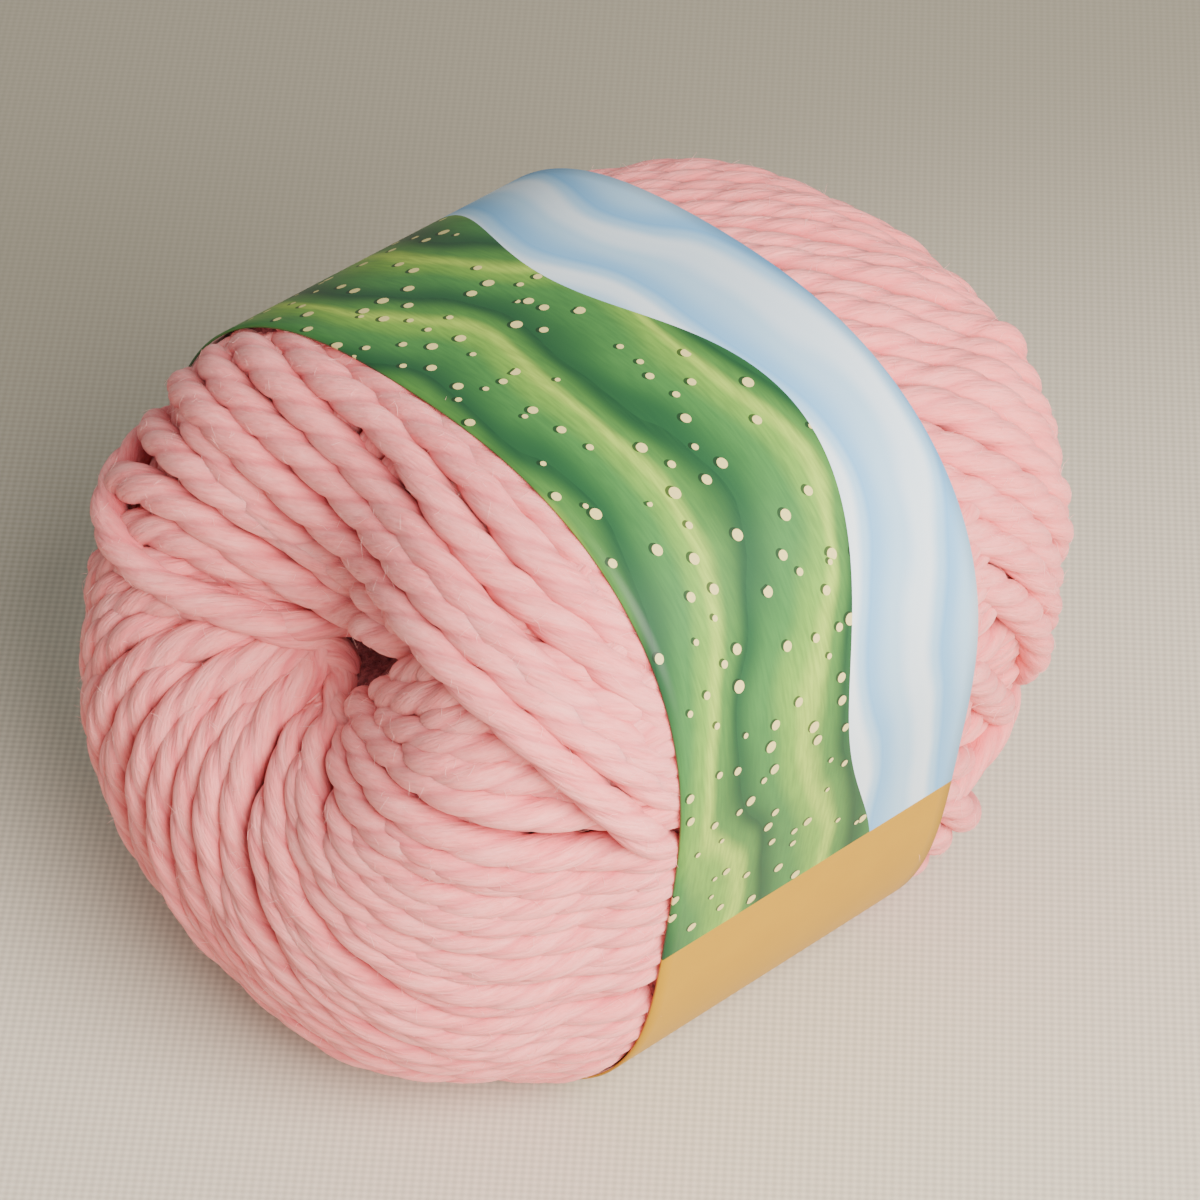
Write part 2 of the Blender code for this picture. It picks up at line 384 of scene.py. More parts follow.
LONGEST_START = 0.05         # yarn within which each strand's twist starts at its own place
SUNK = 0.97 * STACKED        # depth at which a strand no longer shows
IN_THE_HOLE = 1.7 * STACKED  # depth to which a strand dives into the hole
SWELLS = (                   # uneven thickness: share, length of a radian, change by strand
    (0.04, 0.0043, 1.7),
    (0.03, 0.0117, 0.9),
)
END_TAPER = 3.0              # places in which a strand's end narrows
FIBRES_TWIST = 0.4           # by which the fibres' lie differs from the plies', as a share
TONE_SHIFT = 0.05            # how far apart in the fibre pattern two strands may be

rng = np.random.default_rng(7)

profile_curve = bpy.data.curves.new("strand_section", "CURVE")
profile_curve.dimensions = "2D"
profile = profile_curve.splines.new("POLY")
profile.points.add(PROFILE_POINTS - 1)
profile.use_cyclic_u = True
for corner in range(PROFILE_POINTS):
    turn = 2.0 * math.pi * corner / PROFILE_POINTS
    ply_share = abs(math.cos(PLIES * turn / 2.0))
    reach = STRAND_RADIUS * (1.0 - PLY_GROOVE * (1.0 - ply_share) ** GROOVE_SHARPNESS)
    profile.points[corner].co = (reach * math.cos(turn), reach * math.sin(turn), 0.0, 1.0)
section = bpy.data.objects.new("strand_section", profile_curve)


def turn_lines(normals, distances):
    """Points (strand, place, 3) of whole turns on the form: each in its own tilted plane."""
    axis, _, _ = hole_axes()
    normal = normals[:, None, :]
    first = axis - normal * np.sum(axis * normal, axis=-1, keepdims=True)
    first /= np.linalg.norm(first, axis=-1, keepdims=True)
    second = np.cross(normal, first)
    angle = np.linspace(0.0, 2.0 * np.pi, TURN_POINTS, endpoint=False)[None, :, None]
    flat = np.cos(angle) * first + np.sin(angle) * second
    low = np.full(flat.shape[:2] + (1,), -STEEPEST)
    high = np.full(flat.shape[:2] + (1,), STEEPEST)
    for _ in range(HALVINGS):
        tilt = (low + high) / 2.0
        direction = np.cos(tilt) * flat + np.sin(tilt) * normal
        point = direction * form_radius(direction)[..., None]
        offset = end_side(point[..., 0]) * distances[:, None]
        beyond = (np.sum(point * normal, axis=-1) - offset)[..., None]
        high = np.where(beyond > 0.0, tilt, high)
        low = np.where(beyond > 0.0, low, tilt)
    return point


def round_average(values, spacing, length):
    """Running mean of values (strand, place) along closed turns."""
    reach = max(1, int(round(length / spacing)))
    kernel = np.hanning(2 * reach + 3)[1:-1]
    kernel /= kernel.sum()
    padded = np.concatenate((values[:, -reach:], values, values[:, :reach]), axis=1)
    return np.array([np.convolve(line, kernel, mode="valid") for line in padded])


def slow_noise(count, waves):
    """Smooth closed noise (strand, place) of about unit size, with up to so many waves."""
    angle = np.linspace(0.0, 2.0 * np.pi, TURN_POINTS, endpoint=False)[None, :]
    total = np.zeros((count, TURN_POINTS))
    for _ in range(WAVES_ADDED):
        wave = rng.integers(2, waves, count)[:, None]
        total += np.sin(wave * angle + rng.uniform(0.0, WHOLE_TURN, count)[:, None])
    return total / WAVES_HEIGHT


def form_normals(points):
    """Outward normals of the form at points on it."""
    direction = points / np.linalg.norm(points, axis=-1, keepdims=True)
    side = np.cross(direction, (0.0, 0.0, 1.0))
    side /= np.linalg.norm(side, axis=-1, keepdims=True)
    top = np.cross(direction, side)
    edges = []
    for way in (side, top):
        ends = []
        for sign in (-1.0, 1.0):
            tilted = direction + sign * FEELER * way
            tilted /= np.linalg.norm(tilted, axis=-1, keepdims=True)
            ends.append(tilted * form_radius(tilted)[..., None])
        edges.append(ends[1] - ends[0])
    normal = np.cross(edges[0], edges[1])
    normal /= np.linalg.norm(normal, axis=-1, keepdims=True)
    return normal * np.sign(np.sum(normal * direction, axis=-1, keepdims=True))


def layer_of(number):
    """0 for every second strand, 1 for every second of the rest, and so on."""
    level = 0
    while number % 2 == 0 and level < LAYERS:
        number //= 2
        level += 1
    return level


def lay_rows():
    """Every row's turns, uneven as a machine lays them, before they press on each other."""
    laid = []
    for name, row in ROWS.items():
        count = row["strands"]
        number = np.arange(count) + rng.uniform(-TURN_JITTER, TURN_JITTER, count)
        normal, distance, lift = turn_plane(row, number)
        normal = normal + rng.normal(0.0, PLANE_JITTER, (count, 3))
        normal /= np.linalg.norm(normal, axis=1)[:, None]
        distance = distance + rng.normal(0.0, OFFSET_JITTER, count)
        points = turn_lines(normal, distance)
        level = (LAYERS + 1.0) * np.ones(count)
        if name == "swirl":
            level = np.array([layer_of(place + 3) for place in range(count)])
        laid.append(dict(name=name, row=row, number=number, normal=normal, distance=distance,
                         lift=lift, points=points, surface=form_normals(points),
                         level=2.0 ** level * rng.uniform(*LAYER_JITTER, count)))
    return laid


def strand_spacing(row, number, points, surface):
    """Space from strand to strand of the row, at these points near this strand."""
    before, after = (turn_plane(row, number + step) for step in (-0.5, 0.5))
    change = points @ (after[0] - before[0])
    change -= (after[1] - before[1]) * end_side(points[..., 0])
    steepness = surface @ (after[0] + before[0]) / 2.0
    return np.abs(change) / np.sqrt(np.maximum(1.0 - steepness ** 2, 0.05))


def sink_under(low, high):
    """How deep each point of the row low is pressed down by the strands of the row high."""
    flat = low["points"].reshape(-1, 3)
    surface = low["surface"].reshape(-1, 3)
    side = end_side(flat[:, 0])
    own_lift = laid_lift(low["row"], np.repeat(low["lift"], TURN_POINTS), flat)
    deepest = np.zeros(len(flat))
    same = low is high
    number = np.repeat(np.arange(len(low["number"])), TURN_POINTS)
    own_course = np.cross(surface, low["normal"][number])
    own_course /= np.linalg.norm(own_course, axis=1)[:, None]
    for newer, normal in enumerate(high["normal"]):
        course = np.cross(surface, normal)
        course /= np.linalg.norm(course, axis=1)[:, None]
        away = flat @ normal - side * high["distance"][newer]
        away /= np.sqrt(np.maximum(1.0 - (surface @ normal) ** 2, 0.1))
        alike = np.abs(np.sum(course * own_course, axis=1))
        side_by_side = smoothstep(CROSSING[0], CROSSING[1], alike)
        touching = STACKED * (1.0 - BESIDE * side_by_side)
        over = np.sqrt(np.maximum(touching ** 2 - away ** 2, 0.0))
        newer_lift = laid_lift(high["row"], high["lift"][newer], flat)
        over -= (newer_lift - own_lift) * (1.0 - side_by_side)
        spacing = strand_spacing(high["row"], newer, flat, surface)
        over *= smoothstep(LOST_PITCH, FULL_PITCH, spacing * high["level"][newer])
        if high["row"]["tucked"]:
            over *= showing_share(high["name"], flat)
        if same:
            over[number >= newer] = 0.0
            over *= 1.0 - side_by_side
        deepest = np.maximum(deepest, over)
    return deepest.reshape(low["points"].shape[:2])


def settle_row(laid, place):
    """Centre lines of a row's strands, how deep each point has sunk, and how slim it is."""
    low = laid[place]
    points = low["points"]
    count = len(points)
    sink = np.zeros(points.shape[:2])
    for high in laid[place:]:
        sink = np.maximum(sink, sink_under(low, high))
    slim = np.ones(points.shape[:2])
    if low["name"] == "swirl":
        for strand in range(count):
            spacing = strand_spacing(low["row"], strand, points[strand],
                                     low["surface"][strand]) * low["level"][strand]
            sunk = STACKED * (1.0 - smoothstep(LOST_PITCH, FULL_PITCH, spacing))
            sink[strand] = np.maximum(sink[strand], sunk)
            slim[strand] = np.clip(spacing / SLIM_PITCH, SLIMMEST, 1.0)
    slim *= low["row"].get("girth", 1.0)
    if low["row"]["tucked"]:
        showing = showing_share(low["name"], points)
        sink = np.maximum(sink, IN_THE_HOLE * (1.0 - showing))
    step = float(np.linalg.norm(np.roll(points, -1, axis=1) - points, axis=-1).mean())
    sink = round_average(sink, step, DIVE_LENGTH)
    slim = round_average(slim, step, DIVE_LENGTH)
    lift = laid_lift(low["row"], low["lift"][:, None], points)
    lift = lift + WANDER * slow_noise(count, LIFT_WAVES)
    wander = WANDER * slow_noise(count, SIDE_WAVES)
    direction = points / np.linalg.norm(points, axis=-1, keepdims=True)
    backs = press(points + direction * lift[..., None]
                  + low["normal"][:, None, :] * wander[..., None])
    centres = backs - low["surface"] * (STRAND_RADIUS * slim + sink)[..., None]
    centres[..., 2] = np.maximum(centres[..., 2], STRAND_RADIUS * slim - FLOOR_DROP)
    return centres, sink, slim


def stretches(kept):
    """Runs (start, length) of kept places round a closed turn."""
    if kept.all():
        return [(0, len(kept))]
    first_gap = int(np.flatnonzero(~kept)[0])
    turned = np.roll(kept, -first_gap)
    edges = np.flatnonzero(np.diff(np.concatenate(([0], turned.astype(int), [0]))))
    return [((start + first_gap) % len(kept), end - start)
            for start, end in zip(edges[::2], edges[1::2])]


def spin_strands(laid, place, parts):
    """Meshes of a row's showing strands, shared between so many pieces for each end."""
    name = laid[place]["name"]
    centres, sink, slim = settle_row(laid, place)
    along = laid[place]["points"][..., 0]
    under_paper = np.abs(along - BAND_SHIFT) < BAND_WIDTH / 2 - UNDER_PAPER
    kept = sink < SUNK
    for shift in (-KEPT_ON, -KEPT_ON // 2, KEPT_ON // 2, KEPT_ON):
        kept |= np.roll(sink < SUNK, shift, axis=1)
    kept &= ~under_paper
    runs = [(strand, start, length) for strand in range(len(kept))
            for start, length in stretches(kept[strand]) if length > SHORTEST_RUN]
    ends = {"near": [], "far": []}
    for run in runs:
        middle = (run[1] + run[2] // 2) % TURN_POINTS
        ends["near" if centres[run[0], middle, 0] < BAND_SHIFT else "far"].append(run)
    for end, group in ends.items():
        for part in range(parts if group else 0):
            make_strand_piece(f"yarn_{name}_{end}_{part + 1}", laid[place],
                              group[part::parts], centres, slim)


def mesh_of_curve(name, curve):
    """The mesh of a curve with its thickness, the curve's own object taken away again."""
    thing = bpy.data.objects.new(name + "_curve", curve)
    bpy.context.scene.collection.objects.link(thing)
    depsgraph = bpy.context.evaluated_depsgraph_get()
    mesh = bpy.data.meshes.new_from_object(thing.evaluated_get(depsgraph))
    bpy.data.objects.remove(thing)
    mesh.name = name
    mesh.materials.clear()
    return mesh


def make_strand_piece(name, laid, runs, centres, slim):
    """One mesh of a row's strands, with what its material needs at each of its points."""
    curve = bpy.data.curves.new(name, "CURVE")
    curve.dimensions = "3D"
    curve.bevel_mode = "OBJECT"
    curve.bevel_object = section
    curve.twist_mode = "MINIMUM"
    along, tone, lines, outward = [], [], [], []
    for strand, start, length in runs:
        places = (start + np.arange(length)) % TURN_POINTS
        line = centres[strand, places]
        run = np.concatenate(([0.0], np.cumsum(np.linalg.norm(np.diff(line, axis=0), axis=1))))
        run += rng.uniform(0.0, LONGEST_START)
        spline = curve.splines.new("POLY")
        spline.points.add(length - 1)
        middle = np.array(BALL_MIDDLE)
        spline.points.foreach_set("co", np.c_[line + middle, np.ones(length)].ravel())
        twist = -2.0 * math.pi * run / PLY_TWIST_LENGTH
        swell = np.ones(length)
        for share, wave_length, change in SWELLS:
            swell += share * np.sin(run / wave_length + change * strand)
        from_end = np.minimum(np.arange(length), np.arange(length)[::-1])
        taper = np.clip((from_end + 0.02) / END_TAPER, 0.0, 1.0) ** 0.5
        swell *= slim[strand, places] * taper
        spline.points.foreach_set("tilt", twist)
        spline.points.foreach_set("radius", swell)
        along.append(run)
        lines.append(line + middle)
        outward.append(laid["surface"][strand, places])
        tone.append(np.full(length, rng.uniform(0.0, 1.0)))
    mesh = mesh_of_curve(name, curve)
    rings = np.concatenate(along)
    tones = np.repeat(np.concatenate(tone), PROFILE_POINTS)
    around = np.tile(np.arange(PROFILE_POINTS) / PROFILE_POINTS, len(rings))
    along_all = np.repeat(rings, PROFILE_POINTS)
    angle = 2.0 * np.pi * around
    lay = angle + FIBRES_TWIST * 2.0 * np.pi * along_all / PLY_TWIST_LENGTH
    fibre = np.c_[np.cos(lay) * STRAND_RADIUS, np.sin(lay) * STRAND_RADIUS,
                  FIBRE_STRETCH * along_all + TONE_SHIFT * tones]
    add_vectors(mesh, "fibre", fibre)
    add_values(mesh, "ply", np.abs(np.cos(PLIES * angle / 2.0)))
    add_values(mesh, "tone", tones)
    corners = np.empty(3 * len(mesh.vertices))
    mesh.vertices.foreach_get("co", corners)
    corners = corners.reshape(-1, 3)
    from_centre = corners - np.repeat(np.concatenate(lines), PROFILE_POINTS, axis=0)
    outwards = np.repeat(np.concatenate(outward), PROFILE_POINTS, axis=0)
    facing = np.sum(from_centre * outwards, axis=1) / STRAND_RADIUS
    # 0 on a strand's outer side, 1 on its side towards the form; the yarn's material darkens a
    # point by this, as painted shade between the strands.
    add_values(mesh, "depth", 0.5 - 0.5 * facing)
    mesh.shade_smooth()
    mesh.materials.append(yarn_look)
    piece = link_piece(name, mesh)
    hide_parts("yarn_ball")
    strand_pieces.append(piece)


def add_values(mesh, name, values):
    """Keep one number for each point of the mesh."""
    layer = mesh.attributes.new(name, "FLOAT", "POINT")
    layer.data.foreach_set("value", np.ascontiguousarray(values, np.float32))


def add_vectors(mesh, name, vectors):
    """Keep three numbers for each point of the mesh."""
    layer = mesh.attributes.new(name, "FLOAT_VECTOR", "POINT")
    layer.data.foreach_set("vector", np.ascontiguousarray(vectors, np.float32).ravel())


def attribute(tree, name, output):
    """A socket that reads what the mesh keeps under this name."""
    node = tree.nodes.new("ShaderNodeAttribute")
    node.attribute_type = "GEOMETRY"
    node.attribute_name = name
    return node.outputs[output]


STRAND_PINKS = ((0.93, 0.285, 0.280, 1.0), (0.95, 0.322, 0.308, 1.0))
DEEP_FIBRE = (0.80, 0.18, 0.195, 1.0)
PALE_CLUMP = (0.97, 0.445, 0.425, 1.0)
# Painted shade: the red towards which the grooves between the plies are darkened, and by how
# much.
PLY_GROOVE_SHADE_RED = (0.74, 0.14, 0.17, 1.0)
# Painted shade: the red towards which the sides of the strands that face the form are darkened.
STRAND_GROOVE_SHADE_RED = (0.66, 0.10, 0.13, 1.0)
# Painted shade: the deeper pink towards which the yarn is darkened at the far end.
FAR_END_SHADED_PINK = (0.86, 0.19, 0.18, 1.0)
CLUMP_PALENESS = 0.45
PLY_GROOVE_SHADE_SHARE = 0.55
STRAND_GROOVE_SHADE_SHARE = 0.70
FAR_END_SHADE_SHARE = 0.55
FIBRE_GRAIN = 2700.0
CLUMP_GRAIN = 900.0
CLUMP_RELIEF = 1.5           # as a multiple of the fibres' relief
FIBRE_RELIEF = 0.00028

yarn_look, tree, shader = new_material("soft_pink_yarn")
fibre_place = attribute(tree, "fibre", "Vector")
ply = attribute(tree, "ply", "Fac")
tone = attribute(tree, "tone", "Fac")
fibres = add_node(tree, "ShaderNodeTexNoise", Vector=fibre_place, Scale=FIBRE_GRAIN,
                  Detail=4.0, Roughness=0.6).outputs["Fac"]
clumps = add_node(tree, "ShaderNodeTexNoise", Vector=fibre_place, Scale=CLUMP_GRAIN,
                  Detail=2.0, Roughness=0.5).outputs["Fac"]
depth = attribute(tree, "depth", "Fac")
fibre_share = add_node(tree, "ShaderNodeMapRange", i0=fibres, i1=0.32, i2=0.68).outputs[0]
clump_share = add_node(tree, "ShaderNodeMapRange", i0=clumps, i1=0.30, i2=0.70).outputs[0]
pink = mix_colours(tree, tone, *STRAND_PINKS)
colour = mix_colours(tree, fibre_share, DEEP_FIBRE, pink)
paler = maths(tree, "MULTIPLY", clump_share, CLUMP_PALENESS)
colour = mix_colours(tree, paler, colour, PALE_CLUMP)
# Painted shade in the grooves between the plies, deepest where two plies meet.
ply_groove_shade = maths(tree, "POWER", maths(tree, "SUBTRACT", 1.0, ply), 2.5)
shade_share = maths(tree, "MULTIPLY", ply_groove_shade, PLY_GROOVE_SHADE_SHARE)
colour = mix_colours(tree, shade_share, colour, PLY_GROOVE_SHADE_RED)
# Painted shade between the strands, on the sides that face the form.
between_strands_shade = add_node(tree, "ShaderNodeMapRange", i0=depth, i1=0.10, i2=0.50).outputs[0]
shade_share = maths(tree, "MULTIPLY", between_strands_shade, STRAND_GROOVE_SHADE_SHARE)
colour = mix_colours(tree, shade_share, colour, STRAND_GROOVE_SHADE_RED)
# Painted shade: the yarn darkens towards the far end, along x.
yarn_place = tree.nodes.new("ShaderNodeTexCoord").outputs["Object"]
farther = add_node(tree, "ShaderNodeSeparateXYZ", Vector=yarn_place).outputs[0]
far_end_shade = add_node(tree, "ShaderNodeMapRange", i0=farther, i1=0.005, i2=0.045,
                  i4=FAR_END_SHADE_SHARE).outputs[0]
colour = mix_colours(tree, far_end_shade, colour, FAR_END_SHADED_PINK)
tree.links.new(colour, shader.inputs["Base Color"])
shader.inputs["Roughness"].default_value = 0.95
shader.inputs["Subsurface Weight"].default_value = 0.3
shader.inputs["Subsurface Radius"].default_value = (1.0, 0.45, 0.40)
shader.inputs["Subsurface Scale"].default_value = 0.0007
shader.inputs["Sheen Weight"].default_value = 0.2
shader.inputs["Sheen Roughness"].default_value = 0.5
shader.inputs["Sheen Tint"].default_value = (1.0, 0.70, 0.68, 1.0)
shader.inputs["Specular IOR Level"].default_value = 0.1
relief_height = maths(tree, "MULTIPLY_ADD", clumps, CLUMP_RELIEF, fibres)
relief = add_node(tree, "ShaderNodeBump", Strength=0.9, Distance=FIBRE_RELIEF,
                  Height=relief_height)
tree.links.new(relief.outputs[0], shader.inputs["Normal"])

PIECES_AN_END = (2, 1, 1, 1)  # into which each row's strands are shared

strand_pieces = []
all_rows = lay_rows()
for place, pieces in enumerate(PIECES_AN_END):
    spin_strands(all_rows, place, pieces)
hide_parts("yarn_ball")


# ---------------------------------------------------------------- Fuzz
# Fine loose fibres of the same yarn, held in a strand at one end only.  Most of them lie
# nearly flat, and they are too thin to be felt one by one.
HAIRS = 11500
HAIR_THICKNESS = 0.000019    # from its middle to its side
HAIR_LENGTH = (0.0007, 0.0020)
HAIR_LIES_FLAT = 0.68        # share of its direction that runs along the strand
HAIR_BEND = 0.35
HAIR_TIP = 0.3               # its thickness at the tip, as a share
BARE_DEPTH = 0.22            # how far round a strand its outer side goes on


def grow_fuzz():
    """A mesh of short bent hairs that start on the outer sides of the strands."""
    places, outwards = [], []
    for piece in strand_pieces:
        count = len(piece.data.vertices)
        corners, sides = np.empty(3 * count), np.empty(3 * count)
        piece.data.vertices.foreach_get("co", corners)
        piece.data.vertices.foreach_get("normal", sides)
        buried = np.empty(count, np.float32)
        piece.data.attributes["depth"].data.foreach_get("value", buried)
        bare = buried < BARE_DEPTH
        places.append(corners.reshape(-1, 3)[bare])
        outwards.append(sides.reshape(-1, 3)[bare])
    places, outwards = np.concatenate(places), np.concatenate(outwards)
    picked = rng.choice(len(places), HAIRS, replace=False)
    root, outward = places[picked], outwards[picked]
    lay = rng.normal(0.0, 1.0, (HAIRS, 3))
    lay -= outward * np.sum(lay * outward, axis=1, keepdims=True)
    lay /= np.linalg.norm(lay, axis=1)[:, None]
    length = rng.uniform(*HAIR_LENGTH, HAIRS)[:, None]
    rise = rng.uniform(0.1, 1.0, HAIRS)[:, None] ** 2 * (1.0 - HAIR_LIES_FLAT) * 2.0
    bend = rng.normal(0.0, HAIR_BEND, (HAIRS, 3))
    middle = root + length * 0.5 * (lay + outward * rise)
    tip = middle + length * 0.5 * (lay * 0.8 + bend + outward * rise * 0.5)
    curve = bpy.data.curves.new("yarn_fuzz", "CURVE")
    curve.dimensions = "3D"
    curve.bevel_depth = HAIR_THICKNESS
    curve.bevel_resolution = 0
    for hair in range(HAIRS):
        spline = curve.splines.new("POLY")
        spline.points.add(2)
        for point, at in zip(spline.points, (root[hair], middle[hair], tip[hair])):
            point.co = (*at, 1.0)
        spline.points[2].radius = HAIR_TIP
    return mesh_of_curve("yarn_fuzz", curve)


fuzz_mesh = grow_fuzz()
fuzz_look, tree, shader = new_material("loose_fibres")
shader.inputs["Base Color"].default_value = (0.94, 0.50, 0.47, 1.0)
shader.inputs["Roughness"].default_value = 0.9
shader.inputs["Specular IOR Level"].default_value = 0.1
fuzz_mesh.materials.append(fuzz_look)
yarn_fuzz = link_piece("yarn_fuzz", fuzz_mesh)
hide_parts("yarn_ball")


# ---------------------------------------------------------------- Paper band
# A strip of glossy printed paper wrapped round the ball and glued under it.  It is printed
# with wavy ribbons of green and of blue, cream dots on the green, and a plain gold panel.
BAND_STEPS = 360             # round the ball
BAND_ROWS = 24               # from edge to edge


def make_band():
    """The strip rolled into a ring round the yarn, its place on the flat print kept."""
    strip = bmesh.new()
    bmesh.ops.create_grid(strip, x_segments=BAND_STEPS, y_segments=BAND_ROWS, size=0.5)
    lay = strip.loops.layers.uv.new("print")
    for face in strip.faces:
        for loop in face.loops:
            loop[lay].uv = (loop.vert.co.x + 0.5, loop.vert.co.y + 0.5)
    for vert in strip.verts:
        turn = 2.0 * math.pi * (vert.co.x + 0.5) - math.pi / 2.0
        across, upward = math.cos(turn), math.sin(turn)
        radius = float(band_inner(np.array(across), np.array(upward)))
        vert.co = (BAND_SHIFT + vert.co.y * BAND_WIDTH, across * radius, upward * radius)
        vert.co += BALL_MIDDLE
    bmesh.ops.remove_doubles(strip, verts=strip.verts, dist=0.00001)
    bmesh.ops.recalc_face_normals(strip, faces=strip.faces)
    mesh = bpy.data.meshes.new("paper_band_printed")
    strip.to_mesh(mesh)
    strip.free()
    mesh.shade_smooth()
    return mesh


band_mesh = make_band()
printed_band = link_piece("paper_band_printed", band_mesh)
sample = band_mesh.polygons[0]
outward = Vector(sample.center) - BALL_MIDDLE
outward.x = 0.0
if sample.normal.dot(outward) < 0.0:
    band_mesh.flip_normals()
wall = printed_band.modifiers.new("paper", "SOLIDIFY")
wall.thickness = PAPER_THICKNESS
wall.offset = 1.0
wall.use_even_offset = True
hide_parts("paper_band")

PRINT_LENGTH = 0.263
GOLD_FROM = 0.788            # share of the way round, from the seam under the ball
GREEN_WIDTH = 25.5           # from here on, the print's sizes are in millimetres
GREEN_RIBBON = 13.0          # width of one ribbon
BLUE_RIBBON = 9.5
RIBBON_DRIFT = 15.0          # how far the ribbons stray from their waves, from side to side
DOT_SPACING = 2.9
DOTS_KEPT = 0.46             # share of the places that have a dot
DOT_REACH = 0.215            # from a dot's middle to its edge, as a share of the spacing
SHADOW_REACH = 0.225
SHADOW_SHIFT = 0.24          # of a dot's dark edge, each way
DOT_CREAM = (0.66, 0.57, 0.22, 1.0)
DOT_SHADOW = (0.010, 0.030, 0.012, 1.0)
BLADE_GREEN = (0.02, 0.09, 0.03, 1.0)
FAR_EDGE_BLUE = (0.10, 0.34, 0.66, 1.0)
GOLDS = ((0.43, 0.222, 0.0, 1.0), (0.49, 0.260, 0.0, 1.0))
GREENS = (                   # place across a ribbon, colour
    (0.00, (0.015, 0.075, 0.028, 1.0)),
    (0.30, (0.055, 0.190, 0.045, 1.0)),
    (0.55, (0.160, 0.340, 0.045, 1.0)),
    (0.66, (0.330, 0.500, 0.060, 1.0)),
    (0.80, (0.070, 0.200, 0.040, 1.0)),
    (1.00, (0.012, 0.060, 0.024, 1.0)),
)
BLUES = (
    (0.00, (0.20, 0.44, 0.70, 1.0)),
    (0.35, (0.42, 0.62, 0.78, 1.0)),
    (0.60, (0.74, 0.83, 0.88, 1.0)),
    (0.72, (0.80, 0.87, 0.90, 1.0)),
    (0.88, (0.36, 0.58, 0.77, 1.0)),
    (1.00, (0.17, 0.41, 0.68, 1.0)),
)

band_look, tree, shader = new_material("printed_band_paper")
lay = tree.nodes.new("ShaderNodeUVMap")
lay.uv_map = "print"
print_axes = add_node(tree, "ShaderNodeSeparateXYZ", Vector=lay.outputs[0])
round_share, across_share = print_axes.outputs[0], print_axes.outputs[1]
round_mm = maths(tree, "MULTIPLY", round_share, PRINT_LENGTH * 1000.0)
across_mm = maths(tree, "MULTIPLY", across_share, BAND_WIDTH * 1000.0)


def print_place(round_scale, across_scale):
    """Coordinates on the strip, in so many millimetres to the unit each way."""
    return add_node(tree, "ShaderNodeCombineXYZ",
                    i0=maths(tree, "DIVIDE", round_mm, round_scale),
                    i1=maths(tree, "DIVIDE", across_mm, across_scale)).outputs[0]


def wave(length_mm, height_mm, start):
    """A wavy line along the strip, as millimetres across it."""
    turn = maths(tree, "MULTIPLY_ADD", round_mm, 2.0 * math.pi / length_mm, start)
    return maths(tree, "MULTIPLY", maths(tree, "SINE", turn), height_mm)


def noise(round_scale, across_scale, detail=2.0):
    """Uneven print, its spots about so many millimetres long and wide."""
    return add_node(tree, "ShaderNodeTexNoise", Vector=print_place(round_scale, across_scale),
                    Scale=1.0, Detail=detail, Roughness=0.5).outputs["Fac"]


def ribbons(line, width, shades):
    """Ribbons of this width along a line, each with these shades from edge to edge."""
    ramp = tree.nodes.new("ShaderNodeValToRGB")
    tree.links.new(maths(tree, "FRACT", maths(tree, "DIVIDE", line, width)), ramp.inputs[0])
    ramp.color_ramp.interpolation = "EASE"
    ramp.color_ramp.elements[0].color = shades[0][1]
    ramp.color_ramp.elements[1].color = shades[-1][1]
    for position, shade in shades[1:-1]:
        ramp.color_ramp.elements.new(position).color = shade
    return ramp.outputs[0]


drift = maths(tree, "MULTIPLY_ADD", noise(34.0, 17.0), RIBBON_DRIFT, -RIBBON_DRIFT / 2.0)
green_line = maths(tree, "ADD", maths(tree, "ADD", wave(88.0, 3.2, 0.6), wave(37.0, 1.3, 2.0)),
                   maths(tree, "ADD", across_mm, drift))
green = ribbons(green_line, GREEN_RIBBON, GREENS)
blades = add_node(tree, "ShaderNodeMapRange", i0=noise(2.6, 0.35, 1.0), i1=0.35, i2=0.7)
green = mix_colours(tree, maths(tree, "MULTIPLY", blades.outputs[0], 0.30), green, BLADE_GREEN)


def dot_distance(shift_mm):
    """Distance to the nearest dot, from 0 at its middle, the pattern shifted across."""
    place = add_node(tree, "ShaderNodeCombineXYZ",
                     i0=maths(tree, "DIVIDE", maths(tree, "ADD", round_mm, shift_mm),
                              DOT_SPACING),
                     i1=maths(tree, "DIVIDE", maths(tree, "ADD", across_mm, shift_mm),
                              DOT_SPACING))
    cells = add_node(tree, "ShaderNodeTexVoronoi", Vector=place.outputs[0], Scale=1.0)
    cells.voronoi_dimensions = "2D"
    chance = add_node(tree, "ShaderNodeSeparateColor", Color=cells.outputs["Color"])
    kept = maths(tree, "LESS_THAN", chance.outputs[0], DOTS_KEPT)
    distance = maths(tree, "MULTIPLY_ADD", chance.outputs[1], 0.12, cells.outputs["Distance"])
    return maths(tree, "ADD", distance, maths(tree, "SUBTRACT", 1.0, kept))


under_dot = maths(tree, "LESS_THAN", dot_distance(SHADOW_SHIFT), SHADOW_REACH)
green = mix_colours(tree, maths(tree, "MULTIPLY", under_dot, 0.85), green, DOT_SHADOW)
dot = maths(tree, "LESS_THAN", dot_distance(0.0), DOT_REACH)
green = mix_colours(tree, dot, green, DOT_CREAM)

blue_line = maths(tree, "ADD", maths(tree, "ADD", wave(63.0, 2.0, 1.9), wave(29.0, 0.9, 0.4)),
                  maths(tree, "MULTIPLY_ADD", drift, 0.6, across_mm))
blue = ribbons(blue_line, BLUE_RIBBON, BLUES)
blue = mix_colours(tree, maths(tree, "MULTIPLY", across_share, 0.30), blue, FAR_EDGE_BLUE)

